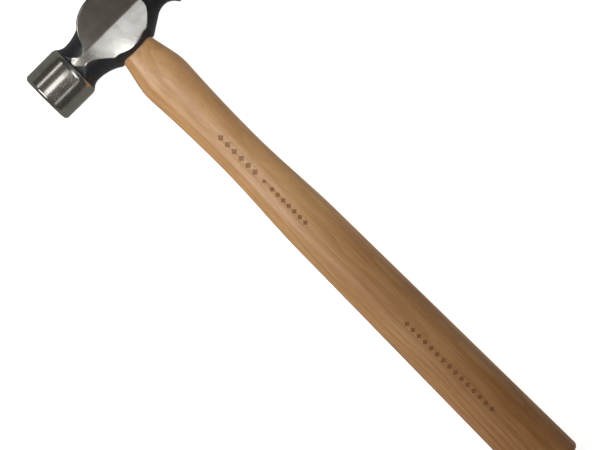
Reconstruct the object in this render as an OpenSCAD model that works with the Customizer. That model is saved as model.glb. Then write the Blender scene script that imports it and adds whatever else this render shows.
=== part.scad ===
// Ball peen hammer: a forged steel head on a hickory handle, held by one wooden and two steel wedges.
// The head's axis is X, from the middle of the striking face at the origin to the ball. The handle
// runs toward -Y, the top of the head faces +Y, and the two ground cheeks face +Z and -Z.

/* [Striking face] */
// Diameter of the striking collar
collar_d = 31.4; // [29:0.2:38]
// Length of the collar's straight side, with its bevel
collar_l = 20.3; // [14:0.1:26]
// Width of the bevel around the striking face
face_bevel = 1.6; // [0.6:0.1:3]
// Length of the rounded shoulder behind the collar
shoulder_l = 2.7; // [1.5:0.1:4]
// How far the shoulder falls below the collar
shoulder_drop = 1.1; // [0.5:0.1:1.4]

/* [Face-side neck] */
// Diameter of the neck at its thinnest place
neck_d = 25.3; // [20:0.1:26]
// Distance from the shoulder to the thinnest place of the neck
hollow_l = 4.8; // [4:0.1:8]
// Distance from the thinnest place of the neck to the eye's boss
neck_sweep_l = 14.3; // [11:0.1:20]

/* [Eye] */
// Diameter of the swell around the eye
swell_d = 40; // [34:0.2:48]
// How far the middle of the swell lies above the head's axis
swell_rise = 1.25; // [0:0.05:2]
// Width of the crown's straight part across the head
crown_flat = 22.8; // [18:0.2:26]
// How far the boss under the swell is smaller in radius
boss_step = 2.8; // [2:0.1:4]
// Steel left beside the mouth of the eye
mouth_rim = 0.8; // [0.5:0.1:3]
// Length of the eye at its waist
eye_waist_l = 19.2; // [16:0.1:23]
// Width of the eye at its waist
eye_waist_w = 15; // [12.5:0.1:18]
// Radius of the eye's long sides at its waist
eye_side_r = 15; // [13:0.5:24]
// How much each wall of the eye leans out per millimetre below the waist
lean_below = 0.075; // [0.02:0.005:0.09]
// How much each wall of the eye leans out per millimetre above the waist
lean_above = 0.045; // [0.02:0.005:0.06]

/* [Cheeks] */
// Thickness of the steel beside the waist of the eye
cheek_wall = 5.9; // [4.5:0.1:8]
// Slope of the ground faces on each side of a cheek's ridge, in degrees
cheek_tilt = 4.5; // [1:0.5:6]
// Radius of the wheel that the cheeks are ground on
wheel_r = 200; // [150:5:400]
// Distance from the middle of the eye to the highest place of the cheeks, toward the striking face
crest_offset = 5.7; // [0:0.1:8]
// Height of the ridges above the head's axis
ridge_y = 1.7; // [0:0.1:3]
// Width of the step left between the shoulder and the ground cheeks
grind_step = 0.4; // [0.2:0.1:2]

/* [Ball peen] */
// Diameter of the ball
ball_d = 28; // [24:0.2:34]
// Length of the ball's straight band
band_l = 4.8; // [2:0.1:8]
// Chamfer of the band's rear edge
band_chamfer = 0.8; // [0.3:0.1:1.5]
// Diameter of the peen-side neck at its thinnest place
peen_neck_d = 18.3; // [15:0.1:22]
// Distance from the eye's boss to the thinnest place of the peen-side neck
peen_sweep_l = 15.8; // [13:0.1:20]
// Radius of the hollow on the eye side of that place
peen_sweep_r = 11; // [8:0.5:12]
// Distance from that place to the ball's band
peen_hollow_l = 6.7; // [5.5:0.1:9]

/* [Handle] */
// Length of the whole hammer from the crown of the head to the butt
overall_l = 356.8; // [290:0.2:430]
// Distance from the head's axis to the bulge
bulge_y = 36; // [30:0.5:44]
// Width of the bulge
bulge_w = 29.3; // [26:0.1:35]
// Thickness of the bulge
bulge_t = 22.8; // [20:0.1:27]
// Distance from the head's axis to the waist
waist_y = 93; // [76:1:112]
// Width of the waist
waist_w = 25.5; // [21:0.1:28]
// Thickness of the waist
waist_t = 19; // [16:0.1:22]
// Distance from the head's axis to the start of the grip
grip_y = 158; // [130:1:190]
// Width of the grip where it starts
grip_w = 30.3; // [26:0.1:36]
// Thickness of the grip where it starts
grip_t = 23.2; // [19:0.1:27]
// Width of the butt
butt_w = 35; // [30:0.1:40]
// Thickness of the butt
butt_t = 26; // [21:0.1:30]
// Round of the butt's edge
butt_round = 3; // [1:0.25:5]
// Squareness of the handle's oval, where 2 is an ellipse
oval_power = 2.2; // [2:0.05:2.8]

/* [Wedges] */
// Gap between the tongue and the eye, and around each wedge
fit_gap = 0.05; // [0.02:0.01:0.15]
// How far the tongue stops short of the crown
trim = 0.5; // [0.2:0.1:1.5]
// Depth of the saw kerf below the crown
kerf_depth = 27; // [22:0.5:32]
// Width of the kerf at its bottom
kerf_w = 1; // [0.6:0.1:1.8]
// Thickness of the wooden wedge at the crown
wood_wedge_t = 3; // [2:0.1:4]
// Empty depth of kerf below the wooden wedge
kerf_spare = 2.5; // [1:0.5:5]
// Thickness of a steel wedge at its head
steel_wedge_t = 2; // [1.2:0.1:3]
// Thickness of a steel wedge at its edge
steel_edge_t = 0.4; // [0.2:0.1:0.8]
// Depth of a steel wedge
steel_wedge_l = 15; // [9:0.5:18]
// Wood left between the end of a steel wedge and the widest wall of the eye's waist
steel_wedge_margin = 2; // [1.5:0.1:4]
// Distance of each steel wedge from the middle of the eye
steel_wedge_x = 4.6; // [3.5:0.1:5.5]

/* [Hidden] */
$fn = 96;
// Smoothness of the large grinding wheel
WHEEL_FN = 360;
// Straight pieces that each arc of the head's outline is turned with
ARC_STEPS = 8;
// Extra length of a cut past the surface that it opens
PAST = 1;
// Corners around the handle's oval
HANDLE_SIDES = 40;
// Rings along the root, the neck, the swelling, the grip and the rounded butt of the handle
ROOT_RINGS = 3;
NECK_RINGS = 8;
SWELLING_RINGS = 10;
GRIP_RINGS = 3;
BUTT_RINGS = 4;
// Share of the root's taper that runs on inside the eye
SEAT_SHARE = 0.12;
STEEL = "silver";
HICKORY = "burlywood";
WEDGE_WOOD = "peru";
WEDGE_STEEL = "slategray";

collar_r = collar_d / 2;
neck_r = neck_d / 2;
swell_r = swell_d / 2;
boss_r = swell_r - boss_step;
crown_r = norm([swell_r, crown_flat / 2]);
crown_y = swell_rise + swell_r;
ball_r = ball_d / 2;
peen_neck_r = peen_neck_d / 2;

// Half the eye's length and width where the handle leaves the boss
mouth_half_l = eye_waist_l / 2 + lean_below * boss_r;
mouth_half_w = eye_waist_w / 2 + lean_below * boss_r;
cheek_t = eye_waist_w + 2 * cheek_wall;
// Thickness of the crown before its cheeks are ground
blank_t = cheek_t + 2 * PAST;

// Places along the head
shoulder_end = collar_l + shoulder_l;
neck_x = shoulder_end + hollow_l;
boss_start = neck_x + neck_sweep_l;
eye_x = boss_start + mouth_rim + mouth_half_l;
boss_end = eye_x + mouth_half_l + mouth_rim;
peen_neck_x = boss_end + peen_sweep_l;
band_start = peen_neck_x + peen_hollow_l;
ball_x = band_start + band_l;

function mix(a, b, share) = a + (b - a) * share;

// Radius of an arc that is level at one end and falls by drop over length
function sweep_r(length, drop) = (length * length + drop * drop) / (2 * drop);

shoulder_r = sweep_r(shoulder_l, shoulder_drop);
hollow_r = sweep_r(hollow_l, collar_r - shoulder_drop - neck_r);
neck_sweep_r = sweep_r(neck_sweep_l, boss_r - neck_r);
peen_hollow_r = sweep_r(peen_hollow_l, ball_r - band_chamfer - peen_neck_r);

// The straight flank from the boss that just touches the hollow of the peen-side neck
hollow_rise = peen_neck_r + peen_sweep_r - boss_r;
flank_l = sqrt(peen_sweep_l * peen_sweep_l + hollow_rise * hollow_rise - peen_sweep_r * peen_sweep_r);
flank_slope = atan2(hollow_rise, peen_sweep_l) - atan2(peen_sweep_r, flank_l);
flank_end_x = boss_end + flank_l * cos(flank_slope);
flank_end_r = boss_r + flank_l * sin(flank_slope);

// Places down the handle, each as [distance along Y, half the width, half the thickness]
root = [-boss_r, mouth_half_l - mouth_rim / 2, mouth_half_w - mouth_rim / 2];
bulge = [-bulge_y, bulge_w / 2, bulge_t / 2];
waist = [-waist_y, waist_w / 2, waist_t / 2];
grip = [-grip_y, grip_w / 2, grip_t / 2];
butt = [crown_y - overall_l, butt_w / 2, butt_t / 2];

steel_wedge_w = eye_waist_w - 2 * steel_wedge_margin;
steel_wedge_top = swell_rise
    + sqrt(pow(swell_r - trim, 2) - pow(steel_wedge_x + steel_wedge_t / 2, 2)) - fit_gap;

// ---- Head ----

// Points of an arc around mid, from one angle to another, without its first point
function arc(mid, r, from, to) = [
    for (i = [1:ARC_STEPS])
        let (turn = mix(from, to, i / ARC_STEPS))
        mid + r * [cos(turn), sin(turn)]
];

// Half of the head's outline up to the ball: the radius runs across and the place along the head upward
head_outline = concat(
    [[0, 0], [collar_r - face_bevel, 0], [collar_r, face_bevel], [collar_r, collar_l]],
    arc([collar_r - shoulder_r, collar_l], shoulder_r, 0, asin(shoulder_l / shoulder_r)),
    arc([neck_r + hollow_r, neck_x], hollow_r, 180 + asin(hollow_l / hollow_r), 180),
    arc([neck_r + neck_sweep_r, neck_x], neck_sweep_r, 180, 180 - asin(neck_sweep_l / neck_sweep_r)),
    [[boss_r, boss_end], [flank_end_r, flank_end_x]],
    arc([peen_neck_r + peen_sweep_r, peen_neck_x], peen_sweep_r, 180 - flank_slope, 180),
    arc([peen_neck_r + peen_hollow_r, peen_neck_x], peen_hollow_r,
        180, 180 - asin(peen_hollow_l / peen_hollow_r)),
    [[ball_r, band_start + band_chamfer], [ball_r, ball_x], [0, ball_x]]
);

// The outline turned around the head's axis, with the ball on its end
module turned_head() {
    rotate([90, 0, 90]) rotate_extrude() {
        polygon(head_outline);
        intersection() {
            translate([0, ball_x]) circle(r = ball_r);
            translate([0, ball_x]) square(ball_r);
        }
    }
}

// The swell around the eye: a ball, and over its upper half a wide crown that runs across the head
module swell() {
    translate([eye_x, swell_rise, 0]) {
        sphere(r = swell_r);
        intersection() {
            cylinder(h = 2 * crown_r, r = swell_r, center = true);
            sphere(r = crown_r);
            translate([-crown_r, 0, -blank_t / 2]) cube([2 * crown_r, crown_r, blank_t]);
        }
    }
}

// What the wheel grinds off the +Z cheek above its ridge (side 1) or below it (side -1)
module ground_away(side) {
    crest_x = eye_x - crest_offset;
    start_x = shoulder_end + grind_step;
    translate([crest_x, ridge_y, cheek_t / 2]) rotate([-side * cheek_tilt, 0, 0])
        difference() {
            translate([start_x - crest_x, side > 0 ? -PAST : -swell_d, -cheek_wall])
                cube([peen_neck_x - PAST - start_x, swell_d + PAST, swell_r]);
            translate([0, 0, -wheel_r]) rotate([90, 0, 0])
                cylinder(h = 4 * swell_d, r = wheel_r, center = true, $fn = WHEEL_FN);
        }
}

// Half of the oval eye, from its waist to h along +Y, as the common part of three cones
module eye_half(h, lean, gap) {
    end_r = eye_waist_l / 2 - gap;
    side_r = eye_side_r - gap;
    side_z = eye_side_r - eye_waist_w / 2;
    rotate([-90, 0, 0]) intersection() {
        cylinder(h = h, r1 = end_r, r2 = end_r + lean * h);
        translate([0, side_z, 0]) cylinder(h = h, r1 = side_r, r2 = side_r + lean * h);
        translate([0, -side_z, 0]) cylinder(h = h, r1 = side_r, r2 = side_r + lean * h);
    }
}

// The hourglass eye, or with a gap the tongue that fills it
module eye(gap) {
    translate([eye_x, 0, 0]) {
        eye_half(crown_y + PAST, lean_above, gap);
        mirror([0, 1, 0]) eye_half(swell_r, lean_below, gap);
    }
}

// Grinds both cheeks of a part of the forging, above and below its ridge
module ground_cheeks() {
    difference() {
        children();
        for (cheek = [0, 1], side = [-1, 1])
            mirror([0, 0, cheek]) ground_away(side);
    }
}

module head() {
    color(STEEL) difference() {
        union() {
            ground_cheeks() turned_head();
            ground_cheeks() swell();
        }
        eye(0);
    }
}

// ---- Handle ----

// Ways for the width and thickness to change between two places of the handle
straight = function(s) s;
levelling = function(s) 1 - (1 - s) * (1 - s);
easing = function(s) s * s * (3 - 2 * s);

// Rings from one place of the handle up to the next
function rings(a, b, count, way) = [
    for (i = [0:count - 1])
        let (s = i / count)
        [mix(a[0], b[0], s), mix(a[1], b[1], way(s)), mix(a[2], b[2], way(s))]
];

// Rings around the butt's edge, which is a quarter of a circle
function butt_rings() = [
    for (i = [0:BUTT_RINGS])
        let (turn = 90 * i / BUTT_RINGS)
        let (inset = butt_round * (1 - cos(turn)))
        [butt[0] + butt_round * (1 - sin(turn)), butt[1] - inset, butt[2] - inset]
];

handle_rings = concat(
    rings(mix(root, bulge, -SEAT_SHARE), bulge, ROOT_RINGS, straight),
    rings(bulge, waist, NECK_RINGS, levelling),
    rings(waist, grip, SWELLING_RINGS, easing),
    rings(grip, butt + [butt_round, 0, 0], GRIP_RINGS, straight),
    butt_rings()
);

// A coordinate on the handle's oval, from the cosine or sine of its angle
function oval(c) = sign(c) * pow(abs(c), 2 / oval_power);

// One solid skin through the rings, closed at both ends
module handle_skin() {
    last = len(handle_rings) - 1;
    points = [
        for (ring = handle_rings, i = [0:HANDLE_SIDES - 1])
            let (turn = 360 * i / HANDLE_SIDES)
            [eye_x + ring[1] * oval(cos(turn)), ring[0], ring[2] * oval(sin(turn))]
    ];
    walls = [
        for (r = [0:last - 1], i = [0:HANDLE_SIDES - 1])
            let (j = (i + 1) % HANDLE_SIDES, near = r * HANDLE_SIDES, far = near + HANDLE_SIDES)
            [near + i, far + i, far + j, near + j]
    ];
    top = [for (i = [0:HANDLE_SIDES - 1]) i];
    bottom = [for (i = [HANDLE_SIDES - 1:-1:0]) last * HANDLE_SIDES + i];
    polyhedron(points, concat([top, bottom], walls), convexity = 4);
}

// The tongue's shape without its cuts, trimmed to follow the crown
module tongue() {
    intersection() {
        eye(fit_gap);
        translate([eye_x, swell_rise, 0])
            cylinder(h = swell_d, r = swell_r - trim, center = true);
    }
}

// A wedge shape in the eye, t0 thick at y0 and t1 thick at y1, w wide
module taper_block(y0, t0, y1, t1, w) {
    linear_extrude(height = w, center = true)
        polygon([[-t0 / 2, y0], [t0 / 2, y0], [t1 / 2, y1], [-t1 / 2, y1]]);
}

module kerf() {
    translate([eye_x, 0, 0]) rotate([0, 90, 0])
        taper_block(crown_y - kerf_depth, kerf_w, crown_y, wood_wedge_t, swell_d);
}

// A steel wedge on one side of the eye, or with a gap the slot that it sits in
module steel_wedge(side, gap) {
    edge_y = steel_wedge_top - steel_wedge_l;
    slope = (steel_wedge_t - steel_edge_t) / steel_wedge_l;
    head_y = gap > 0 ? crown_y : steel_wedge_top;
    translate([eye_x + side * steel_wedge_x, 0, 0])
        taper_block(edge_y - gap, steel_edge_t + 2 * gap,
            head_y, steel_edge_t + 2 * gap + slope * (head_y - edge_y), steel_wedge_w + 2 * gap);
}

module handle() {
    color(HICKORY) union() {
        handle_skin();
        difference() {
            tongue();
            kerf();
            steel_wedge(-1, fit_gap);
            steel_wedge(1, fit_gap);
        }
    }
}

// ---- Wedges ----

module wooden_wedge() {
    tip_y = crown_y - kerf_depth + kerf_spare;
    slope = (wood_wedge_t - kerf_w) / kerf_depth;
    color(WEDGE_WOOD) difference() {
        intersection() {
            tongue();
            translate([eye_x, 0, 0]) rotate([0, 90, 0])
                taper_block(tip_y, kerf_w + slope * kerf_spare - 2 * fit_gap,
                    crown_y, wood_wedge_t - 2 * fit_gap, swell_d);
        }
        steel_wedge(-1, fit_gap);
        steel_wedge(1, fit_gap);
    }
}

module steel_wedge_face_side() {
    color(WEDGE_STEEL) steel_wedge(-1, 0);
}

module steel_wedge_peen_side() {
    color(WEDGE_STEEL) steel_wedge(1, 0);
}

head();
handle();
wooden_wedge();
steel_wedge_face_side();
steel_wedge_peen_side();
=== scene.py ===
"""Ball peen hammer: a ground steel head, a lacquered hickory handle, a wooden wedge and two steel wedges.

The head's axis is X, from the striking face to the ball. The handle runs toward -Y and the hammer lies on
one cheek, so +Z is up. Sizes are in millimetres until a mesh is made.
"""
import math

import bmesh
import bpy
import numpy as np
from mathutils import Matrix, Vector


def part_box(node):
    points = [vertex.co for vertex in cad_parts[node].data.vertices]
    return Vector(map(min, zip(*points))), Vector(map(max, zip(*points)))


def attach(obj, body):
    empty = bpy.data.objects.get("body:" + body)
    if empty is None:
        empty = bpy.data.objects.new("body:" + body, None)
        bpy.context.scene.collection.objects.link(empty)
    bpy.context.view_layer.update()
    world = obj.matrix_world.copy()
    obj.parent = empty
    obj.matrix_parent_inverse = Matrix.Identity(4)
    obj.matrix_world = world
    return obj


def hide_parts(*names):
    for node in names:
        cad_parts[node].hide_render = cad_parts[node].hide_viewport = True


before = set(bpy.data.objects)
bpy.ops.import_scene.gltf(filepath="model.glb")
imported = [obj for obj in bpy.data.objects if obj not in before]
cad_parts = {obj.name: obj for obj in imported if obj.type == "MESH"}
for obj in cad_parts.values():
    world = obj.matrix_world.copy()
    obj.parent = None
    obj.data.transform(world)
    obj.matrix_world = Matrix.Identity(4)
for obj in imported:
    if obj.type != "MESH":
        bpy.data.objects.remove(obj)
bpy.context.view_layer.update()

MM = 0.001
HEAD_LOW, HEAD_HIGH = (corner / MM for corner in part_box("head"))
HANDLE_LOW, HANDLE_HIGH = (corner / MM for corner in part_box("handle"))

# ---- Sizes of the head ----

# The striking face, its collar and the neck behind it
COLLAR_R = HEAD_HIGH.z
COLLAR_L = 20.3
FACE_BEVEL = 1.6
SHOULDER_L = 2.7
SHOULDER_DROP = 1.1
NECK_R = 12.65
HOLLOW_L = 4.8
NECK_SWEEP_L = 14.3
# The boss round the eye, the swell that rises out of it and the swell's crown toward +Y
BOSS_R = -HEAD_LOW.y
SWELL_R = 20.0
SWELL_RISE = HEAD_HIGH.y - SWELL_R
CROWN_R = 23.02
# The eye: its waist in the middle, and how much each side leans out per millimetre toward its mouths
EYE_X = (HANDLE_LOW.x + HANDLE_HIGH.x) / 2
EYE_WAIST_L = 19.2
EYE_WAIST_W = 15.0
EYE_SIDE_R = 15.0
LEAN_BELOW = 0.075
LEAN_ABOVE = 0.045
MOUTH_RIM = 0.8
# The cheeks: two facets that meet in a ridge, each ground on a large wheel
CHEEK_Z = 13.4
CHEEK_TILT = math.radians(4.5)
WHEEL_R = 200.0
CREST_X = EYE_X - 5.7
RIDGE_Y = 1.7
GRIND_MARGIN = 0.4
# The ball, the band at its root and the neck before it
BALL_R = 14.0
BALL_X = HEAD_HIGH.x - BALL_R
BAND_CHAMFER = 0.8
PEEN_NECK_R = 9.15
PEEN_SWEEP_L = 15.8
PEEN_SWEEP_R = 11.0
PEEN_HOLLOW_L = 6.7

MOUTH_HALF_L = EYE_WAIST_L / 2 + LEAN_BELOW * BOSS_R
MOUTH_HALF_W = EYE_WAIST_W / 2 + LEAN_BELOW * BOSS_R
SHOULDER_END = COLLAR_L + SHOULDER_L
GRIND_START = SHOULDER_END + GRIND_MARGIN
NECK_X = SHOULDER_END + HOLLOW_L
BOSS_END = EYE_X + MOUTH_HALF_L + MOUTH_RIM
PEEN_NECK_X = BOSS_END + PEEN_SWEEP_L
BAND_START = PEEN_NECK_X + PEEN_HOLLOW_L

# Soft edges that the CAD solid leaves sharp
FILLET = 1.1
CROWN_SOFT = 0.8
EDGE_SOFT = 0.12
RIDGE_SOFT = 0.12
RIM_ROUND = 0.55

# Stands for "no surface this way" among distances from the head's axis
FAR = 999.0

# ---- Small tools ----


def linear(hex_colour):
    """sRGB hex to the linear values that Blender wants."""
    parts = [int(hex_colour[i:i + 2], 16) / 255 for i in (1, 3, 5)]
    return tuple(c / 12.92 if c <= 0.04045 else ((c + 0.055) / 1.055) ** 2.4 for c in parts) + (1.0,)


def add(tree, kind, inputs=None, **settings):
    """One node with its settings; each input takes a value, or a link from another node's output."""
    node = tree.nodes.new(kind)
    for name, value in settings.items():
        setattr(node, name, value)
    for name, value in (inputs or {}).items():
        socket = node.inputs[name]
        if isinstance(value, bpy.types.NodeSocket):
            tree.links.new(value, socket)
        else:
            socket.default_value = value
    return node


def smooth_max(a, b, k):
    """The larger of two distances, with a round of about k where they cross."""
    near = np.maximum(k - np.abs(a - b), 0) / k
    return np.maximum(a, b) + near * near * k / 4


def smooth_min(a, b, k):
    """The smaller of two distances, with a round of about k where they cross."""
    return -smooth_max(-a, -b, k)


def new_piece(name, points, faces, material):
    """A smooth-shaded mesh object from points in millimetres."""
    mesh = bpy.data.meshes.new(name)
    mesh.from_pydata((np.asarray(points) * MM).tolist(), [], faces)
    mesh.materials.append(material)
    mesh.polygons.foreach_set("use_smooth", [True] * len(mesh.polygons))
    mesh.update()
    piece = bpy.data.objects.new(name, mesh)
    bpy.context.scene.collection.objects.link(piece)
    return piece


def bake_modifiers(piece):
    """The evaluated shape becomes the piece's plain mesh, and its modifiers go."""
    graph = bpy.context.evaluated_depsgraph_get()
    baked = bpy.data.meshes.new_from_object(piece.evaluated_get(graph), depsgraph=graph)
    piece.modifiers.clear()
    piece.data = baked
    baked.name = piece.name
    return piece


def carve(piece, tool, operation="DIFFERENCE"):
    """Cuts, joins or keeps the common part of piece and tool, then throws the tool away."""
    cut = piece.modifiers.new("carve", "BOOLEAN")
    cut.operation = operation
    cut.solver = "EXACT"
    cut.object = tool
    cut.material_mode = "TRANSFER"
    bake_modifiers(piece)
    bpy.data.objects.remove(tool)
    return piece


def closed_rings(rings, sides, caps=True):
    """Faces of a skin through rings of points, with an n-gon on each end."""
    around = np.arange(sides)
    after = (around + 1) % sides
    faces = []
    for r in range(rings - 1):
        near, far = r * sides, (r + 1) * sides
        faces += np.stack([near + around, near + after, far + after, far + around], 1).tolist()
    if caps:
        faces.append(around[::-1].tolist())
        faces.append(((rings - 1) * sides + around).tolist())
    return faces


def flip_outward(piece):
    """Closed shell with its normals outward, after its doubles are merged."""
    shell = bmesh.new()
    shell.from_mesh(piece.data)
    bmesh.ops.remove_doubles(shell, verts=shell.verts, dist=1e-6)
    bmesh.ops.recalc_face_normals(shell, faces=shell.faces)
    shell.to_mesh(piece.data)
    shell.free()
    return piece


def finish_piece(piece, node):
    """Every piece rides on the one body, and the CAD node that it stands for is hidden."""
    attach(piece, "root")
    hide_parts(node)


# ---- Camera, lights and floor ----

# The camera looks straight down on the hammer, turned so that the handle runs to the lower right
VIEW_CENTRE = (49.1, -145.1)
VIEW_HEIGHT = 1350.0
VIEW_TURN = math.radians(-45)

camera_data = bpy.data.cameras.new("camera")
camera_data.lens = 150
camera_data.sensor_width = 36
camera = bpy.data.objects.new("camera", camera_data)
camera.location = Vector((VIEW_CENTRE[0], VIEW_CENTRE[1], VIEW_HEIGHT)) * MM
camera.rotation_euler = (0, 0, VIEW_TURN)
bpy.context.scene.collection.objects.link(camera)
bpy.context.scene.camera = camera
bpy.context.scene.view_settings.view_transform = "Standard"


def panel(name, at, aim, width, height, glow, colour="#FFFFFF"):
    """A soft light panel that faces a point, with its brightness given as seen from in front."""
    data = bpy.data.lights.new(name, "AREA")
    data.shape = "RECTANGLE"
    data.size = width * MM
    data.size_y = height * MM
    data.energy = glow * math.pi * data.size * data.size_y
    data.color = linear(colour)[:3]
    light = bpy.data.objects.new(name, data)
    light.location = Vector(at) * MM
    facing = (Vector(at) - Vector(aim)).normalized()
    across = Vector((0, 1, 0)).cross(facing).normalized()
    light.rotation_euler = Matrix((across, facing.cross(across), facing)).transposed().to_euler()
    light.visible_camera = False
    bpy.context.scene.collection.objects.link(light)
    return light


# Two softboxes model the wood from the sides
panel("left_softbox", (-700, 360, 1000), (EYE_X, -60, 0), 700, 900, 5.2, "#FFFEFC")
panel("right_softbox", (1000, 0, 700), (EYE_X, -100, 0), 700, 900, 0.1, "#FAFCFF")
# A fill over the head lights the wood from above and stays out of the steel's mirror
fill = panel("overhead_fill", (40, 60, 500), (40, 20, 0), 240, 240, 2.6)
fill.visible_glossy = False
# Small lit cards close by, each of them for one reflection: on the cheek, on the collar and on the lacquer
panel("cheek_card", (72, -15, 110), (72, -15, 0), 98, 32, 0.95, "#F4F8FF")
panel("collar_card", (8, 8, 62), (8, 8, 0), 17, 18, 1.8)
panel("collar_back_strip", (9, 158, 130), (9, 0, 0), 40, 26, 1.8)
panel("collar_front_strip", (8, -58, 62), (8, -58, 0), 20, 13, 0.9)
panel("handle_card", (50, -66, 150), (50, -66, 0), 10, 80, 15.0)

world = bpy.data.worlds.new("studio")
world.use_nodes = True
# A dim room for the steel to mirror: grey below the table's edge, darker above it
direction = add(world.node_tree, "ShaderNodeSeparateXYZ", {
    0: add(world.node_tree, "ShaderNodeTexCoord").outputs["Generated"]})
height = add(world.node_tree, "ShaderNodeMapRange", {"Value": direction.outputs["Z"], "From Min": -1.0})
room = add(world.node_tree, "ShaderNodeValToRGB", {"Fac": height.outputs["Result"]})
room.color_ramp.elements[0].position = 0.48
room.color_ramp.elements[0].color = (0.20, 0.195, 0.185, 1)
room.color_ramp.elements[1].position = 0.97
room.color_ramp.elements[1].color = (0.115, 0.105, 0.092, 1)
room.color_ramp.elements.new(0.58).color = (0.07, 0.066, 0.064, 1)
room.color_ramp.elements.new(0.88).color = (0.08, 0.075, 0.07, 1)
world.node_tree.links.new(room.outputs["Color"], world.node_tree.nodes["Background"].inputs["Color"])
bpy.context.scene.world = world

# Matt white acrylic light table: an even glow under the hammer that washes its shadow out
table_paint = bpy.data.materials.new("white_light_table")
table_paint.use_nodes = True
table_paint.node_tree.nodes.clear()
surface = add(table_paint.node_tree, "ShaderNodeBsdfPrincipled", {
    "Base Color": linear("#F2F2F0"), "Roughness": 0.85,
    "Emission Color": linear("#FFFFFF"), "Emission Strength": 0.85})
add(table_paint.node_tree, "ShaderNodeOutputMaterial", {"Surface": surface.outputs["BSDF"]})
TABLE_HALF = 3000
TABLE_CORNERS = [(-1, -1), (1, -1), (1, 1), (-1, 1)]
floor = new_piece("floor", [(a * TABLE_HALF, b * TABLE_HALF, HEAD_LOW.z) for a, b in TABLE_CORNERS],
                  [(0, 1, 2, 3)], table_paint)
# The table's glow stays out of the steel's mirror, as black cards beside a shiny tool keep it out
floor.visible_glossy = False

# ---- Materials ----


def new_material(name):
    """A material with an empty node tree."""
    material = bpy.data.materials.new(name)
    material.use_nodes = True
    material.node_tree.nodes.clear()
    return material


def scaled_coords(tree, size_mm):
    """Object coordinates where one unit is size_mm long on each axis."""
    coords = add(tree, "ShaderNodeTexCoord")
    return add(tree, "ShaderNodeMapping", {
        "Vector": coords.outputs["Object"],
        "Scale": tuple(1 / (s * MM) for s in size_mm)}).outputs["Vector"]


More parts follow.
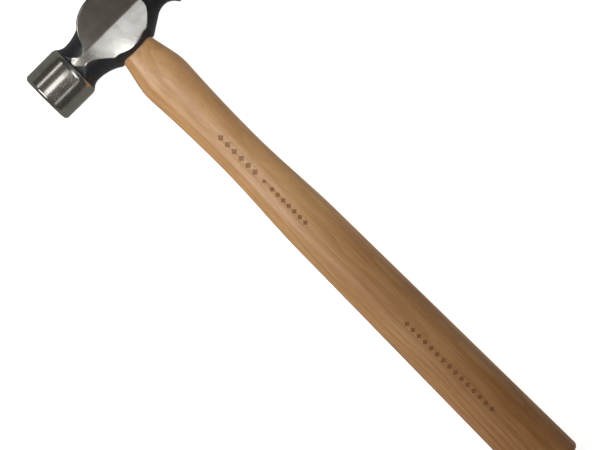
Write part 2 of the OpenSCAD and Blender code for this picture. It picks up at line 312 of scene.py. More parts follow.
def head_finish():
    """Forged steel, sprayed with black enamel and then ground bare where it works.

    The ground steel mirrors the lights softly, with the fine lines of the wheel in it. The enamel gives a
    deep black with small highlights, over the dimples of the forging."""
    material = new_material("ground_steel_and_black_enamel")
    tree = material.node_tree
    # The mesh says how far inside the bare steel each place is; the enamel's edge wanders about that line
    bare = add(tree, "ShaderNodeAttribute", attribute_name="bare").outputs["Fac"]
    ragged = add(tree, "ShaderNodeTexNoise", {"Vector": scaled_coords(tree, (1.5, 1.5, 1.5)),
                                              "Scale": 1.0, "Detail": 3.0})
    wobble = add(tree, "ShaderNodeMath", {0: ragged.outputs["Fac"], 1: 0.16, 2: -0.08},
                 operation="MULTIPLY_ADD")
    edge = add(tree, "ShaderNodeMath", {0: bare, 1: wobble.outputs[0]}, operation="ADD")
    mask = add(tree, "ShaderNodeMapRange", {"Value": edge.outputs[0], "From Min": -0.07,
                                            "From Max": 0.07}).outputs["Result"]
    # Wheel lines: real ones are 0.05 mm apart, drawn at 0.35 mm across and 9 mm long so that they show
    cheek_lines = add(tree, "ShaderNodeTexNoise", {"Vector": scaled_coords(tree, (9, 0.35, 0.35)),
                                                   "Scale": 1.0, "Detail": 4.0, "Roughness": 0.65})
    turned_lines = add(tree, "ShaderNodeTexNoise", {"Vector": scaled_coords(tree, (0.3, 40, 40)),
                                                    "Scale": 1.0, "Detail": 3.0, "Roughness": 0.7})
    place = add(tree, "ShaderNodeSeparateXYZ", {0: add(tree, "ShaderNodeTexCoord").outputs["Object"]})
    on_cheek = add(tree, "ShaderNodeMapRange", {
        "Value": place.outputs["X"], "From Min": (SHOULDER_END - 0.1) * MM,
        "From Max": (SHOULDER_END + 0.2) * MM}).outputs["Result"]
    before_ball = add(tree, "ShaderNodeMapRange", {
        "Value": place.outputs["X"], "From Min": (BAND_START - 0.4) * MM, "From Max": (BAND_START - 0.2) * MM,
        "To Min": 1.0, "To Max": 0.0}).outputs["Result"]
    is_cheek = add(tree, "ShaderNodeMath", {0: on_cheek, 1: before_ball}, operation="MULTIPLY").outputs[0]
    lines = add(tree, "ShaderNodeMix", {"Factor": is_cheek, "A": turned_lines.outputs["Fac"],
                                        "B": cheek_lines.outputs["Fac"]}, data_type="FLOAT").outputs["Result"]
    # Faint smudges of handling, about 7 mm across
    smudges = add(tree, "ShaderNodeTexNoise", {"Vector": scaled_coords(tree, (7, 7, 7)),
                                               "Scale": 1.0, "Detail": 5.0, "Roughness": 0.6}).outputs["Fac"]
    steel = add(tree, "ShaderNodeValToRGB", {"Fac": smudges})
    steel.color_ramp.elements[0].position = 0.3
    steel.color_ramp.elements[0].color = linear("#BDB8AF")
    steel.color_ramp.elements[1].position = 0.7
    steel.color_ramp.elements[1].color = linear("#D0CDC7")
    # The dimples that forging scale leaves, about 2 mm across, show through the enamel
    enamel_grain = add(tree, "ShaderNodeTexNoise", {"Vector": scaled_coords(tree, (2.2, 2.2, 2.2)),
                                                    "Scale": 1.0, "Detail": 4.0, "Roughness": 0.55})
    enamel = add(tree, "ShaderNodeValToRGB", {"Fac": enamel_grain.outputs["Fac"]})
    enamel.color_ramp.elements[0].color = linear("#16171A")
    enamel.color_ramp.elements[1].color = linear("#2A2C30")
    colour = add(tree, "ShaderNodeMix", {6: enamel.outputs["Color"], 7: steel.outputs["Color"]},
                 data_type="RGBA")
    tree.links.new(mask, colour.inputs["Factor"])
    steel_rough = add(tree, "ShaderNodeMapRange", {"Value": lines, "From Min": 0.25, "From Max": 0.75,
                                                   "To Min": 0.13, "To Max": 0.25}).outputs["Result"]
    enamel_rough = add(tree, "ShaderNodeMapRange", {"Value": enamel_grain.outputs["Fac"], "To Min": 0.22,
                                                    "To Max": 0.42}).outputs["Result"]
    rough = add(tree, "ShaderNodeMix", {"Factor": mask, "A": enamel_rough, "B": steel_rough},
                data_type="FLOAT").outputs["Result"]
    steel_height = add(tree, "ShaderNodeMath", {0: lines, 1: 0.012}, operation="MULTIPLY").outputs[0]
    enamel_height = add(tree, "ShaderNodeMath", {0: enamel_grain.outputs["Fac"], 1: 0.22},
                        operation="MULTIPLY").outputs[0]
    height = add(tree, "ShaderNodeMix", {"Factor": mask, "A": enamel_height, "B": steel_height},
                 data_type="FLOAT").outputs["Result"]
    bump = add(tree, "ShaderNodeBump", {"Height": height, "Strength": 1.0, "Distance": MM})
    surface = add(tree, "ShaderNodeBsdfPrincipled", {
        "Base Color": colour.outputs[2], "Metallic": mask, "Roughness": rough,
        "Normal": bump.outputs["Normal"]})
    add(tree, "ShaderNodeOutputMaterial", {"Surface": surface.outputs["BSDF"]})
    return material


# Growth rings of the tree: their spacing, and the shift from its heart, which lies at X 20 and Z -62
RING_PITCH = 2.7
HEART_SHIFT = (-20.0, 0.0, 62.0)


def hickory_finish(name, light, dark, pore, coat, roughness):
    """Hickory: straight grain along the handle, open pores drawn out as fine dark dashes, and growth rings.

    Sawn ends show the rings as arcs and the pores as dots. Lacquer adds a clear gloss on top."""
    material = new_material(name)
    tree = material.node_tree
    # The tree's heart lies beside and below the handle, so the rings cross it as long flames
    sway = add(tree, "ShaderNodeTexNoise", {"Vector": scaled_coords(tree, (24, 130, 24)),
                                            "Scale": 1.0, "Detail": 2.0})
    sway_mm = add(tree, "ShaderNodeMath", {0: sway.outputs["Fac"], 1: 16.0, 2: -8.0},
                  operation="MULTIPLY_ADD").outputs[0]
    place = add(tree, "ShaderNodeMapping", {
        "Vector": add(tree, "ShaderNodeTexCoord").outputs["Object"],
        "Location": HEART_SHIFT, "Scale": (1 / MM, 0.02 / MM, 1 / MM)})
    from_heart = add(tree, "ShaderNodeVectorMath", {0: place.outputs["Vector"]}, operation="LENGTH")
    ring_at = add(tree, "ShaderNodeMath", {0: from_heart.outputs["Value"], 1: sway_mm}, operation="ADD")
    ring_turn = add(tree, "ShaderNodeMath", {0: ring_at.outputs[0], 1: RING_PITCH}, operation="DIVIDE")
    ring = add(tree, "ShaderNodeMath", {0: ring_turn.outputs[0]}, operation="FRACT").outputs[0]
    late_wood = add(tree, "ShaderNodeMapRange", {"Value": ring, "From Min": 0.2, "From Max": 1.0},
                    interpolation_type="SMOOTHSTEP").outputs["Result"]
    # Fibre bundles are 0.1 mm across, drawn 0.55 mm across and 26 mm long so that they show
    fibres = add(tree, "ShaderNodeTexNoise", {"Vector": scaled_coords(tree, (0.55, 26, 0.55)),
                                              "Scale": 1.0, "Detail": 5.0, "Roughness": 0.6})
    # Open pores are 0.3 mm wide and some 5 mm long
    pores = add(tree, "ShaderNodeTexNoise", {"Vector": scaled_coords(tree, (0.32, 5.5, 0.32)),
                                             "Scale": 1.0, "Detail": 2.0, "Roughness": 0.5})
    # Slow drifts of tone, 16 mm across and 60 mm long
    patches = add(tree, "ShaderNodeTexNoise", {"Vector": scaled_coords(tree, (16, 60, 16)),
                                               "Scale": 1.0, "Detail": 3.0})
    tone = add(tree, "ShaderNodeMath", {0: late_wood, 1: 0.09, 2: 0.05}, operation="MULTIPLY_ADD").outputs[0]
    tone = add(tree, "ShaderNodeMath", {0: fibres.outputs["Fac"], 1: 0.5, 2: tone},
               operation="MULTIPLY_ADD").outputs[0]
    tone = add(tree, "ShaderNodeMath", {0: patches.outputs["Fac"], 1: 0.42, 2: tone},
               operation="MULTIPLY_ADD").outputs[0]
    # Painted shade: the wood is painted lighter near the head and darker toward the grip end, standing in for
    # the light falling off toward the butt
    along = add(tree, "ShaderNodeSeparateXYZ", {0: add(tree, "ShaderNodeTexCoord").outputs["Object"]})
    painted_falloff_shade = add(tree, "ShaderNodeMapRange", {"Value": along.outputs["Y"], "From Min": -110 * MM,
                                                 "From Max": -320 * MM, "To Min": -0.1,
                                                 "To Max": 0.2}).outputs["Result"]
    tone = add(tree, "ShaderNodeMath", {0: tone, 1: painted_falloff_shade}, operation="ADD").outputs[0]
    wood = add(tree, "ShaderNodeValToRGB", {"Fac": tone})
    wood.color_ramp.elements[0].position = 0.34
    wood.color_ramp.elements[0].color = linear(light)
    wood.color_ramp.elements[1].position = 0.82
    wood.color_ramp.elements[1].color = linear(dark)
    pore_mask = add(tree, "ShaderNodeMapRange", {"Value": pores.outputs["Fac"], "From Min": 0.62,
                                                 "From Max": 0.74, "To Max": 0.55}).outputs["Result"]
    colour = add(tree, "ShaderNodeMix", {6: wood.outputs["Color"], 7: linear(pore)}, data_type="RGBA")
    tree.links.new(pore_mask, colour.inputs["Factor"])
    height = add(tree, "ShaderNodeMath", {0: pore_mask, 1: -0.05}, operation="MULTIPLY").outputs[0]
    height = add(tree, "ShaderNodeMath", {0: fibres.outputs["Fac"], 1: 0.03, 2: height},
                 operation="MULTIPLY_ADD").outputs[0]
    bump = add(tree, "ShaderNodeBump", {"Height": height, "Strength": 0.8, "Distance": MM})
    rough = add(tree, "ShaderNodeMapRange", {"Value": fibres.outputs["Fac"], "To Min": roughness - 0.06,
                                             "To Max": roughness + 0.1}).outputs["Result"]
    surface = add(tree, "ShaderNodeBsdfPrincipled", {
        "Base Color": colour.outputs[2], "Roughness": rough, "IOR": 1.5, "Coat Weight": coat,
        "Coat Roughness": 0.22, "Normal": bump.outputs["Normal"]})
    add(tree, "ShaderNodeOutputMaterial", {"Surface": surface.outputs["BSDF"]})
    return material


def wedge_steel_finish():
    """Stamped mild steel, bright where the punch sheared it and dull grey where it was struck home."""
    material = new_material("struck_mild_steel")
    tree = material.node_tree
    dents = add(tree, "ShaderNodeTexNoise", {"Vector": scaled_coords(tree, (0.9, 0.9, 0.9)),
                                             "Scale": 1.0, "Detail": 4.0, "Roughness": 0.6})
    colour = add(tree, "ShaderNodeValToRGB", {"Fac": dents.outputs["Fac"]})
    colour.color_ramp.elements[0].color = linear("#6E6B66")
    colour.color_ramp.elements[1].color = linear("#B5B1AA")
    rough = add(tree, "ShaderNodeMapRange", {"Value": dents.outputs["Fac"], "To Min": 0.28,
                                             "To Max": 0.5}).outputs["Result"]
    height = add(tree, "ShaderNodeMath", {0: dents.outputs["Fac"], 1: 0.12}, operation="MULTIPLY").outputs[0]
    bump = add(tree, "ShaderNodeBump", {"Height": height, "Strength": 1.0, "Distance": MM})
    surface = add(tree, "ShaderNodeBsdfPrincipled", {
        "Base Color": colour.outputs["Color"], "Metallic": 1.0, "Roughness": rough,
        "Normal": bump.outputs["Normal"]})
    add(tree, "ShaderNodeOutputMaterial", {"Surface": surface.outputs["BSDF"]})
    return material


HEAD_FINISH = head_finish()
# Light wood, dark wood, pores, lacquer and roughness
HICKORY = hickory_finish("lacquered_hickory", "#CD9F6B", "#935F30", "#6E4526", 0.35, 0.42)
SAWN_WEDGE = hickory_finish("sawn_wedge_beech", "#A9794C", "#7A4F2C", "#4A2D17", 0.0, 0.7)
SCORCHED = hickory_finish("scorched_hickory", "#986A40", "#764B2A", "#50331C", 0.1, 0.55)
WEDGE_STEEL = wedge_steel_finish()

# ---- Head ----

ARC_STEPS = 24
# The turned outline is read every OUTLINE_STEP and its corners are eased over EASING_SAMPLES of these
OUTLINE_STEP = 0.05
EASING_SAMPLES = 15


def arc(mid, radius, start, end):
    """Points of an arc as (along the head, radius), with angles in radians from the outward direction."""
    turn = np.linspace(start, end, ARC_STEPS)
    return np.stack([mid[0] + radius * np.sin(turn), mid[1] + radius * np.cos(turn)], 1)


def sweep_radius(length, drop):
    """Radius of an arc that starts level and drops this far over this length."""
    return (length * length + drop * drop) / (2 * drop)


def turned_outline(x):
    """Radius of the turned body at each place along the head, from behind the bevel to the ball."""
    shoulder_r = sweep_radius(SHOULDER_L, SHOULDER_DROP)
    hollow_r = sweep_radius(HOLLOW_L, COLLAR_R - SHOULDER_DROP - NECK_R)
    sweep_r = sweep_radius(NECK_SWEEP_L, BOSS_R - NECK_R)
    peen_hollow_r = sweep_radius(PEEN_HOLLOW_L, BALL_R - BAND_CHAMFER - PEEN_NECK_R)
    rise = PEEN_NECK_R + PEEN_SWEEP_R - BOSS_R
    flank_l = math.sqrt(PEEN_SWEEP_L ** 2 + rise ** 2 - PEEN_SWEEP_R ** 2)
    slope = math.atan2(rise, PEEN_SWEEP_L) - math.atan2(PEEN_SWEEP_R, flank_l)
    points = np.concatenate([
        [[0, COLLAR_R], [COLLAR_L, COLLAR_R]],
        arc((COLLAR_L, COLLAR_R - shoulder_r), shoulder_r, 0, math.asin(SHOULDER_L / shoulder_r)),
        arc((NECK_X, NECK_R + hollow_r), hollow_r, math.pi + math.asin(HOLLOW_L / hollow_r), math.pi),
        arc((NECK_X, NECK_R + sweep_r), sweep_r, math.pi, math.pi - math.asin(NECK_SWEEP_L / sweep_r)),
        [[BOSS_END, BOSS_R]],
        arc((PEEN_NECK_X, PEEN_NECK_R + PEEN_SWEEP_R), PEEN_SWEEP_R, math.pi - slope, math.pi),
        arc((PEEN_NECK_X, PEEN_NECK_R + peen_hollow_r), peen_hollow_r,
            math.pi, math.pi - math.asin(PEEN_HOLLOW_L / peen_hollow_r)),
        [[BAND_START + BAND_CHAMFER, BALL_R], [BALL_X, BALL_R]],
    ])
    fine = np.arange(0, BALL_X + OUTLINE_STEP, OUTLINE_STEP)
    radius = np.interp(fine, points[:, 0], points[:, 1])
    kernel = np.hanning(EASING_SAMPLES)
    padded = np.pad(radius, EASING_SAMPLES // 2, mode="edge")
    return np.interp(x, fine, np.convolve(padded, kernel / kernel.sum(), mode="valid"))


# Rays that run almost along a surface count as missing it
ROOF_GRAZING = 0.03
FACET_GRAZING = 0.02


def body_radius(x, turn):
    """Distance from the head's axis to the forged surface, before the cheeks are ground."""
    up, out = np.cos(turn), np.abs(np.sin(turn))
    along = x - EYE_X

    def ray_to_ball(radius):
        """Where the ray leaves a ball about the swell's middle."""
        level = radius ** 2 - along ** 2
        reach = np.maximum(level - (SWELL_RISE * out) ** 2, 0)
        return np.where(level > 0, SWELL_RISE * up + np.sqrt(reach), 0)

    ball = ray_to_ball(SWELL_R)
    top = SWELL_RISE + np.sqrt(np.maximum(SWELL_R ** 2 - along ** 2, 0))
    in_reach = (up > ROOF_GRAZING) & (np.abs(along) < SWELL_R)
    roof = np.where(in_reach, top / np.maximum(up, ROOF_GRAZING), FAR)
    crown = smooth_min(roof, ray_to_ball(CROWN_R), CROWN_SOFT)
    crown = np.where((crown * up >= SWELL_RISE) & (np.abs(along) < SWELL_R), crown, 0)
    return smooth_max(turned_outline(x), np.maximum(ball, crown), FILLET)


def wheel_fall(x):
    """How far a facet falls away, at a place along the head, from its height at its crest."""
    return np.sqrt(WHEEL_R ** 2 - (x - CREST_X) ** 2) - WHEEL_R


def ground_radius(x, turn):
    """Distance from the axis to the two ground facets of the nearer cheek."""
    up, out = np.cos(turn), np.abs(np.sin(turn))
    facets = []
    for side in (-1, 1):
        facing = side * math.sin(CHEEK_TILT) * up + math.cos(CHEEK_TILT) * out
        reach = wheel_fall(x) + side * math.sin(CHEEK_TILT) * RIDGE_Y + math.cos(CHEEK_TILT) * CHEEK_Z
        facets.append(np.where(facing > FACET_GRAZING, reach / np.maximum(facing, FACET_GRAZING), FAR))
    flat = smooth_min(facets[0], facets[1], RIDGE_SOFT)
    return np.where((x > GRIND_START) & (x < PEEN_NECK_X), flat, FAR)


# Faces round half a ring: over the crown, on either facet, and round the belly under them
TOP_SEGMENTS = 46
CREST_SEGMENTS = 26
BELLY_SEGMENTS = 24
PROBES = 1440
LEAST_FACET = math.radians(9)


def ring_angles(x):
    """Angles around one ring, drawn to the crown's edge, the cheek's ridge and the cheek's lower edge."""
    ridge = math.atan2(CHEEK_Z + wheel_fall(x), RIDGE_Y)
    probe = np.linspace(0, math.pi, PROBES + 1)
    depth = body_radius(np.full_like(probe, x), probe) - ground_radius(np.full_like(probe, x), probe)
    ground = depth > 0
    middle = int(ridge / math.pi * PROBES)
    upper = lower = ridge
    if ground[middle]:
        i = np.where(~ground[:middle])[0][-1]
        j = np.where(~ground[middle:])[0][0] + middle
        upper = probe[i] + (probe[1] - probe[0]) * depth[i] / (depth[i] - depth[i + 1])
        lower = probe[j] - (probe[1] - probe[0]) * depth[j] / (depth[j] - depth[j - 1])
    upper, lower = min(upper, ridge - LEAST_FACET), max(lower, ridge + LEAST_FACET)
    half = np.concatenate([
        np.linspace(0, upper, TOP_SEGMENTS, endpoint=False),
        np.linspace(upper, ridge, CREST_SEGMENTS, endpoint=False),
        np.linspace(ridge, lower, CREST_SEGMENTS, endpoint=False),
        np.linspace(lower, math.pi, BELLY_SEGMENTS, endpoint=False)])
    return np.concatenate([half, [math.pi], 2 * math.pi - half[:0:-1]])


# How bare a place is, in millimetres inside the edge of the bare steel; past this it is all one finish
ALL_BARE = 2.0
# The belt that polishes the crown: half of what it leaves alone in the middle, by distance from the eye
BELT_AT = [11.5, 14.3, 17.3, 20, 25.4, 30.4]
BELT_EDGE = [-3, 3, 6.1, 7.4, 8.2, 9.3]
# The ground facets narrow to a tip at the collar: heights of the tip's two sides, by distance behind it
TIP_AT = [0, 2, 5, 8, 14]
TIP_BELOW = [0.5, -1, -4, -8, -40]
TIP_ABOVE = [2.5, 4, 9, 14, 40]


def polished_above(x, radius, turn):
    """How far inside the belt-polished area a place is: above the ridges and over the crown."""
    from_eye = abs(x - EYE_X)
    inside = radius * np.abs(np.sin(turn)) - np.interp(from_eye, BELT_AT, BELT_EDGE)
    start = min(x - GRIND_START, PEEN_NECK_X - x)
    most = np.interp(from_eye, [12, 15], [ALL_BARE, -ALL_BARE])
    bare = np.minimum(np.minimum(inside, start), most)
    return np.where(radius * np.cos(turn) > RIDGE_Y, bare, -ALL_BARE)


def inside_tip(x, radius, turn):
    """How far inside the facets' narrow tip a place is, with the neck's enamel on both sides of it."""
    level = radius * np.cos(turn)
    below = np.interp(x - GRIND_START, TIP_AT, TIP_BELOW)
    above = np.interp(x - GRIND_START, TIP_AT, TIP_ABOVE)
    return np.minimum(level - below, above - level)


def face_rings():
    """Rings of the striking face and its bevel, as (along the head, radius), with both bevel edges eased."""
    flat_r = COLLAR_R - FACE_BEVEL
    rings = [(0.0, r) for r in np.linspace(0.6, flat_r - 0.5, 14)]
    for share in np.linspace(0, 1, 9):
        ease = 0.5 * (1 - math.cos(math.pi * share))
        mix = 0.35 * ease + 0.65 * share
        rings.append((FACE_BEVEL * mix ** 1.25, flat_r + FACE_BEVEL * (1 - (1 - mix) ** 1.25)))
    return rings


def forged_places():
    """Places of the rings between the bevel and the ball, close together where the shape turns quickly."""
    return np.concatenate([
        np.arange(FACE_BEVEL + 0.3, COLLAR_L - 0.5, 0.6),
        np.arange(COLLAR_L - 0.4, GRIND_START - 0.05, 0.16),
        [GRIND_START, GRIND_START + 0.02],
        np.arange(GRIND_START + 0.22, BAND_START - 1.2, 0.26),
        np.arange(BAND_START - 1.1, BALL_X - 2.2, 0.16),
        np.arange(BALL_X - 2.0, BALL_X + 0.01, 0.5)])


def ball_rings():
    """Rings of the ball from its root to its end."""
    return [(BALL_X + BALL_R * math.sin(turn), BALL_R * math.cos(turn))
            for turn in np.linspace(0.03, math.pi / 2 - 0.03, 42)]


def head_mesh():
    """The head before its eye is opened: rings round its axis, and for each point how bare its steel is."""
    points = []
    bare = []
    for x, r in face_rings() + [(x, None) for x in forged_places()] + ball_rings():
        turn = ring_angles(min(max(x, 2.0), BALL_X))
        if r is None:
            where = np.full_like(turn, x)
            forged = body_radius(where, turn)
            ground = ground_radius(where, turn)
            radius = smooth_min(forged, ground, EDGE_SOFT)
            shine = np.maximum(forged - ground - EDGE_SOFT, polished_above(x, radius, turn))
            shine = np.minimum(shine, inside_tip(x, radius, turn))
        else:
            radius = np.full_like(turn, r)
            shine = np.full_like(turn, ALL_BARE)
        shine = np.maximum(shine, SHOULDER_END - 0.2 - x)
        shine = np.maximum(shine, x - BAND_START + 0.2)
        points.append(np.stack([np.full_like(turn, x), radius * np.cos(turn), radius * np.sin(turn)], 1))
        bare.append(np.clip(shine, -ALL_BARE, ALL_BARE))
    sides = len(points[0])
    rings = len(points)
    points = np.concatenate(points + [[[0.0, 0.0, 0.0], [BALL_X + BALL_R, 0.0, 0.0]]])
    faces = closed_rings(rings, sides, caps=False)
    first, last = rings * sides, rings * sides + 1
    end = (rings - 1) * sides
    for i in range(sides):
        j = (i + 1) % sides
        faces.append([first, j, i])
        faces.append([last, end + i, end + j])
    head = new_piece("head_forging", points, faces, HEAD_FINISH)
    values = np.concatenate(bare + [[ALL_BARE, ALL_BARE]]).astype(np.float32)
    head.data.attributes.new("bare", "FLOAT", "POINT").data.foreach_set("value", values)
    return head


# ---- Eye ----

EYE_SIDES = 96
EYE_MIDDLE = np.array([EYE_X, 0])
# How far the tool reaches past the head, and how far its flare is carried past the rim
TOOL_REACH = 30.0
FLARE = 1.5


def eye_outline(level, gap):
    """Points around the oval eye at one height, as (along X, across Z)."""
    lean = LEAN_ABOVE if level > 0 else LEAN_BELOW
    grow = lean * abs(level) - gap
    end_r = EYE_WAIST_L / 2 + grow
    side_r = EYE_SIDE_R + grow
    side_z = EYE_SIDE_R - EYE_WAIST_W / 2
    turn = np.linspace(0, 2 * math.pi, EYE_SIDES, endpoint=False)
    across = np.abs(np.sin(turn))
    side = -side_z * across + np.sqrt(side_r ** 2 - (side_z * np.cos(turn)) ** 2)
    reach = smooth_min(np.full_like(turn, end_r), side, 1.0)
    return np.stack([EYE_X + reach * np.cos(turn), reach * np.sin(turn)], 1)


def surface_level(x, z, upward):
    """Height of the head's surface over a point of the eye's rim."""
    if upward:
        return SWELL_RISE + math.sqrt(SWELL_R ** 2 - (x - EYE_X) ** 2)
    level = -BOSS_R
    for _ in range(12):
        turn = math.atan2(z, level)
        level = -math.sqrt(max(float(body_radius(np.array([x]), np.array([turn]))[0]) ** 2 - z * z, 1))
    return level


def lifted(outline, level):
    """A ring in space from an outline of the eye, at one height or at a height for each point."""
    return np.stack([outline[:, 0], np.broadcast_to(level, EYE_SIDES), outline[:, 1]], 1)


def away_from_middle(outline):
    """Unit directions out of the eye's middle for the points of an outline."""
    away = outline - EYE_MIDDLE
    return away / np.linalg.norm(away, axis=1)[:, None]


def eye_half(sign):
    """Rings of the eye from near its waist to past one mouth, whose rim is eased over; sign is +1 or -1."""
    rims = np.array([surface_level(x, z, sign > 0) for x, z in eye_outline(0, 0)])
    lowest = rims[np.abs(rims).argmin()]
    stack = []
    for share in np.linspace(0.05, 0.9, 9):
        level = share * (lowest - sign * RIM_ROUND)
        stack.append(lifted(eye_outline(level, 0), level))
    for turn in np.linspace(0, math.pi / 2, 7):
        inset = RIM_ROUND * (1 - math.cos(turn))
        levels = rims - sign * RIM_ROUND * (1 - math.sin(turn))
        outline = np.array([eye_outline(level, 0)[i] for i, level in enumerate(levels)])
        outline = outline + away_from_middle(outline) * inset
        stack.append(lifted(outline, levels))
    outline = outline + away_from_middle(outline) * FLARE
    stack.append(lifted(outline, levels + sign * FLARE))
    stack.append(lifted(outline, sign * TOOL_REACH))
    return stack


def eye_tool():
    """The hourglass that opens the eye."""
    stack = eye_half(-1)[::-1] + eye_half(1)
    tool = new_piece("eye_tool", np.concatenate(stack), closed_rings(len(stack), EYE_SIDES), HEAD_FINISH)
    return flip_outward(tool)


# ---- Handle ----

# Stations of the handle: place along Y, half width along X and half thickness along Z
ROOT = (-BOSS_R, MOUTH_HALF_L - MOUTH_RIM / 2, MOUTH_HALF_W - MOUTH_RIM / 2)
BULGE = (-36.0, 29.3 / 2, 22.8 / 2)
WAIST = (-93.0, 25.5 / 2, 19.0 / 2)
GRIP = (-158.0, 30.3 / 2, 23.2 / 2)
BUTT = (HANDLE_LOW.y, (HANDLE_HIGH.x - HANDLE_LOW.x) / 2, HANDLE_HIGH.z)
BUTT_ROUND = 3.0
# A little squarer than an ellipse, which would be 2
OVAL_POWER = 2.2
# How far the skin is carried on above its root, as a share of the way to the bulge
ROOT_SHARE = 0.12
RING_CROWDING = 1.6
# The wood in the eye: its gap to the steel, how far it is trimmed below the crown, and its saw kerf
FIT_GAP = 0.05
TRIM = 0.5
KERF_DEPTH = 27.0
KERF_W = 1.0
WOOD_WEDGE_T = 3.0
KERF_SPARE = 2.5
KERF_REACH = 60
CROWN_Y = SWELL_RISE + SWELL_R


def geometry_tree(name, sizes):
    """An empty Geometry Nodes tree with named sizes, and its input and output nodes."""
    tree = bpy.data.node_groups.new(name, "GeometryNodeTree")
    tree.interface.new_socket("Geometry", in_out="OUTPUT", socket_type="NodeSocketGeometry")
    tree.interface.new_socket("Geometry", in_out="INPUT", socket_type="NodeSocketGeometry")
    for label, value in sizes.items():
        kind = "NodeSocketInt" if isinstance(value, int) else "NodeSocketFloat"
        tree.interface.new_socket(label, in_out="INPUT", socket_type=kind)
    return tree, add(tree, "NodeGroupInput"), add(tree, "NodeGroupOutput")


def grow(name, tree, sizes):
    """A piece made by a tree, with each size set by its socket's identifier, then turned to a plain mesh."""
    piece = bpy.data.objects.new(name, bpy.data.meshes.new(name))
    maker = piece.modifiers.new("maker", "NODES")
    maker.node_group = tree
    for item in tree.interface.items_tree:
        if item.in_out == "INPUT" and item.name in sizes:
            maker[item.identifier] = sizes[item.name]
    bpy.context.scene.collection.objects.link(piece)
    bpy.context.view_layer.update()
    return bake_modifiers(piece)


def handle_skin():
    """The handle below the head: an oval that widens, thins and widens again, with a rounded butt."""
    sizes = {"Rings": 300, "Sides": 112, "Oval power": OVAL_POWER, "Butt round": BUTT_ROUND * MM,
             "Middle": EYE_X * MM, "Easing steps": 8}
    start = tuple(r + (r - b) * ROOT_SHARE for r, b in zip(ROOT, BULGE))
    for label, place in (("Start", start), ("Bulge", BULGE), ("Waist", WAIST), ("Grip", GRIP),
                         ("Butt", BUTT)):
        sizes[label + " place"] = place[0] * MM
        sizes[label + " half width"] = place[1] * MM
        sizes[label + " half thickness"] = place[2] * MM
    tree, given, out = geometry_tree("oval_handle", sizes)
    take = given.outputs
    tube = add(tree, "GeometryNodeMeshCylinder", {"Vertices": take["Sides"], "Side Segments": take["Rings"],
                                                  "Radius": 1.0, "Depth": 1.0})
    spot = add(tree, "ShaderNodeSeparateXYZ", {0: add(tree, "GeometryNodeInputPosition").outputs[0]})

    def maths(operation, *values):
        """The result of one sum."""
        return add(tree, "ShaderNodeMath", dict(enumerate(values)), operation=operation).outputs[0]

    # Rings crowd toward the butt, so that its round edge is smooth
    from_butt = maths("POWER", maths("SUBTRACT", 0.5, spot.outputs["Z"]), RING_CROWDING)
    length = maths("SUBTRACT", take["Start place"], take["Butt place"])
    place = maths("MULTIPLY_ADD", from_butt, length, take["Butt place"])

    def span(a, b, way):
        """0 at place a, 1 at place b, by a straight, levelling or easing way."""
        share = add(tree, "ShaderNodeMapRange", {
            "Value": place, "From Min": take[a + " place"], "From Max": take[b + " place"]},
            interpolation_type="SMOOTHSTEP" if way == "easing" else "LINEAR").outputs["Result"]
        if way == "levelling":
            rest = maths("SUBTRACT", 1.0, share)
            share = maths("SUBTRACT", 1.0, maths("MULTIPLY", rest, rest))
        return share

    spans = [("Start", "Bulge", span("Start", "Bulge", "straight")),
             ("Bulge", "Waist", span("Bulge", "Waist", "levelling")),
             ("Waist", "Grip", span("Waist", "Grip", "easing")),
             ("Grip", "Butt", span("Grip", "Butt", "straight"))]
    # The butt's round edge: a quarter circle that draws the skin in over the last millimetres
    to_edge = maths("MINIMUM", maths("SUBTRACT", place, take["Butt place"]), take["Butt round"])
    short = maths("SUBTRACT", take["Butt round"], to_edge)
    flat = maths("SQRT", maths("SUBTRACT", maths("MULTIPLY", take["Butt round"], take["Butt round"]),
                               maths("MULTIPLY", short, short)))
    inset = maths("SUBTRACT", take["Butt round"], flat)
    # Each station's size, span by span, and the oval drawn to it
    exponent = maths("DIVIDE", 2.0, take["Oval power"])
    made = {}
    for axis, label in (("X", " half width"), ("Y", " half thickness")):
        reach = take["Start" + label]
        for a, b, share in spans:
            change = maths("SUBTRACT", take[b + label], take[a + label])
            reach = maths("MULTIPLY_ADD", share, change, reach)
        reach = maths("SUBTRACT", reach, inset)
        direction = spot.outputs[axis]
        curve = maths("MULTIPLY", maths("SIGN", direction),
                      maths("POWER", maths("ABSOLUTE", direction), exponent))
        made[axis] = maths("MULTIPLY", curve, reach)
    across = maths("ADD", made["X"], take["Middle"])
    moved = add(tree, "ShaderNodeCombineXYZ", {"X": across, "Y": place, "Z": made["Y"]})
    skin = add(tree, "GeometryNodeSetPosition", {"Geometry": tube.outputs["Mesh"],
                                                 "Position": moved.outputs[0]})
    # The spokeshave leaves no sharp corner at the bulge
    eased = add(tree, "GeometryNodeBlurAttribute", {
        "Value": add(tree, "GeometryNodeInputPosition").outputs[0], "Iterations": take["Easing steps"]},
        data_type="FLOAT_VECTOR")
    shaved = add(tree, "GeometryNodeSetPosition", {"Geometry": skin.outputs[0],
                                                   "Position": eased.outputs["Value"]})
    whole = add(tree, "GeometryNodeRealizeInstances", {"Geometry": shaved.outputs[0]})
    painted = add(tree, "GeometryNodeSetMaterial", {"Geometry": whole.outputs[0], "Material": HICKORY})
    tree.links.new(painted.outputs[0], out.inputs[0])
    return flip_outward(grow("handle_wood", tree, sizes))


# The tongue: how far it starts below the eye's mouth, its last straight ring below the top, its top's rings
TONGUE_SINK = 0.8
TONGUE_SHOULDER = 0.6
TONGUE_TOP_RINGS = 12
TONGUE_EDGE = 0.35


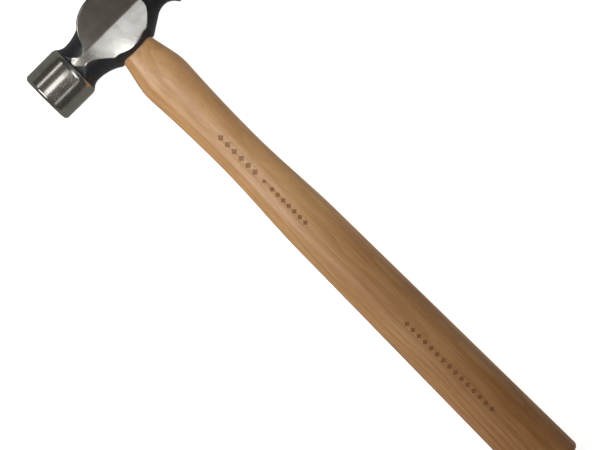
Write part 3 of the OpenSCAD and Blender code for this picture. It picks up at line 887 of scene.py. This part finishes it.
def tongue(name, material):
    """What fills the eye: its shape less the gap, cut off parallel to the crown, with its top edge eased."""
    # It starts inside the handle's root, so that the two join up
    root = eye_outline(-BOSS_R - TONGUE_SINK, FIT_GAP + TONGUE_SINK)
    stack = [lifted(root, -BOSS_R - TONGUE_SINK)]
    # The sides stop below the lowest place of the rounded top, at the two ends of the eye
    rim = eye_outline(SWELL_R, FIT_GAP)
    top_r = SWELL_R - TRIM
    lowest = SWELL_RISE + math.sqrt(top_r ** 2 - (rim[0, 0] - EYE_X) ** 2)
    below = np.linspace(-BOSS_R + 0.4, 0, 12)
    above = np.linspace(0.5, lowest - TONGUE_SHOULDER, 20)
    for level in np.concatenate([below, above]):
        stack.append(lifted(eye_outline(level, FIT_GAP), level))
    for share in np.linspace(0, 1, TONGUE_TOP_RINGS)[:-1]:
        outline = EYE_MIDDLE + (rim - EYE_MIDDLE) * (1 - share)
        top = SWELL_RISE + np.sqrt(top_r ** 2 - (outline[:, 0] - EYE_X) ** 2)
        eased = TONGUE_EDGE * max(0.0, 1 - share * (TONGUE_TOP_RINGS - 1) / 2) ** 2
        stack.append(lifted(outline, top - eased))
    points = np.concatenate(stack)
    return flip_outward(new_piece(name, points, closed_rings(len(stack), EYE_SIDES), material))


def taper_block(name, y0, t0, y1, t1, width, along_x, x, material, bevel=0.0):
    """A wedge in the eye, t0 thick at y0 and t1 thick at y1; it runs along X, or else across along Z."""
    points = []
    for y, t in ((y0, t0), (y1, t1)):
        for a, b in ((-1, -1), (1, -1), (1, 1), (-1, 1)):
            if along_x:
                points.append((x + a * width / 2, y, b * t / 2))
            else:
                points.append((x + a * t / 2, y, b * width / 2))
    block = flip_outward(new_piece(name, points, closed_rings(2, 4), material))
    if bevel:
        edge = block.modifiers.new("edge", "BEVEL")
        edge.width = bevel * MM
        edge.segments = 3
        bake_modifiers(block)
    return block


STEEL_WEDGE_T = 2.0
STEEL_EDGE_T = 0.4
STEEL_WEDGE_ROUND = 0.12
STEEL_WEDGES = ("steel_wedge_face_side", "steel_wedge_peen_side")


def steel_wedge(node, gap, bevel=0.0):
    """A steel wedge, or with a gap the slot that it was driven into."""
    low, high = (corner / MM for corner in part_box(node))
    depth = high.y - low.y
    slope = (STEEL_WEDGE_T - STEEL_EDGE_T) / depth
    top = CROWN_Y if gap else high.y
    return taper_block(node + "_part", low.y - gap, STEEL_EDGE_T + 2 * gap, top,
                       STEEL_EDGE_T + 2 * gap + slope * (top - low.y), high.z - low.z + 2 * gap,
                       False, (low.x + high.x) / 2, HICKORY if gap else WEDGE_STEEL, bevel)


# Pressed rows along the handle: place of the first mark, pitch, number of marks and size
MARK_ROWS = [(-82.0, 5.2, 6, 1.9), (-115.0, 3.0, 1, 1.3), (-121.0, 4.2, 7, 1.6), (-223.0, 4.6, 15, 1.6)]
MARK_X = EYE_X - 1.7
MARK_DEPTH = 0.3
STAMP_HEIGHT = 3.0
# Rays start this high above the handle and reach this far
DROP_FROM = 50.0
DROP_REACH = 100.0


def mark_row(name, first, pitch, count, size):
    """Tools for a row of small pressed lozenges, each dropped onto the top of the handle under it."""
    sizes = {"First place": first * MM, "Pitch": pitch * MM, "Count": count, "Size": size * MM,
             "Middle": MARK_X * MM, "Height": STAMP_HEIGHT * MM, "Pressed": MARK_DEPTH * MM}
    tree, given, out = geometry_tree("pressed_marks", sizes)
    take = given.outputs
    step = add(tree, "ShaderNodeMath", {0: take["Pitch"], 1: -1.0}, operation="MULTIPLY")
    start = add(tree, "ShaderNodeCombineXYZ", {"X": take["Middle"], "Y": take["First place"],
                                                 "Z": DROP_FROM * MM})
    offset = add(tree, "ShaderNodeCombineXYZ", {"Y": step.outputs[0]})
    line = add(tree, "GeometryNodeMeshLine", {"Count": take["Count"], "Start Location": start.outputs[0],
                                              "Offset": offset.outputs[0]})
    wood = add(tree, "GeometryNodeObjectInfo", {"Object": handle})
    drop = add(tree, "GeometryNodeRaycast", {"Target Geometry": wood.outputs["Geometry"],
                                             "Ray Direction": (0.0, 0.0, -1.0),
                                             "Ray Length": DROP_REACH * MM})
    half = add(tree, "ShaderNodeMath", {0: take["Height"], 1: 0.5}, operation="MULTIPLY")
    rise = add(tree, "ShaderNodeMath", {0: half.outputs[0], 1: take["Pressed"]}, operation="SUBTRACT")
    lift = add(tree, "ShaderNodeCombineXYZ", {"Z": rise.outputs[0]})
    onto = add(tree, "GeometryNodeSetPosition", {"Geometry": line.outputs[0],
                                                 "Position": drop.outputs["Hit Position"],
                                                 "Offset": lift.outputs[0]})
    stamp = add(tree, "GeometryNodeMeshCylinder", {"Vertices": 4, "Radius": take["Size"],
                                                   "Depth": take["Height"]})
    placed = add(tree, "GeometryNodeInstanceOnPoints", {"Points": onto.outputs[0],
                                                        "Instance": stamp.outputs["Mesh"]})
    whole = add(tree, "GeometryNodeRealizeInstances", {"Geometry": placed.outputs[0]})
    painted = add(tree, "GeometryNodeSetMaterial", {"Geometry": whole.outputs[0], "Material": SCORCHED})
    tree.links.new(painted.outputs[0], out.inputs[0])
    return flip_outward(grow(name, tree, sizes))


# ---- Assembly ----

head = carve(head_mesh(), eye_tool())

handle = handle_skin()
for first, pitch, count, size in MARK_ROWS:
    carve(handle, mark_row("marks", first, pitch, count, size))

kerf_floor = CROWN_Y - KERF_DEPTH
tongue_part = tongue("tongue", HICKORY)
carve(tongue_part, taper_block("kerf", kerf_floor, KERF_W, CROWN_Y, WOOD_WEDGE_T, KERF_REACH,
                               True, EYE_X, HICKORY))
for node in STEEL_WEDGES:
    carve(tongue_part, steel_wedge(node, FIT_GAP))
carve(handle, tongue_part, "UNION")

# The wooden wedge stops short of the kerf's floor, where the kerf is already a little wider
kerf_slope = (WOOD_WEDGE_T - KERF_W) / KERF_DEPTH
tip_t = KERF_W + kerf_slope * KERF_SPARE - 2 * FIT_GAP
wood_wedge = tongue("wooden_wedge_part", SAWN_WEDGE)
carve(wood_wedge, taper_block("wedge_blank", kerf_floor + KERF_SPARE, tip_t, CROWN_Y,
                              WOOD_WEDGE_T - 2 * FIT_GAP, KERF_REACH, True, EYE_X, SAWN_WEDGE), "INTERSECT")
for node in STEEL_WEDGES:
    carve(wood_wedge, steel_wedge(node, FIT_GAP))

finish_piece(head, "head")
finish_piece(handle, "handle")
finish_piece(wood_wedge, "wooden_wedge")
for node in STEEL_WEDGES:
    finish_piece(steel_wedge(node, 0.0, STEEL_WEDGE_ROUND), node)
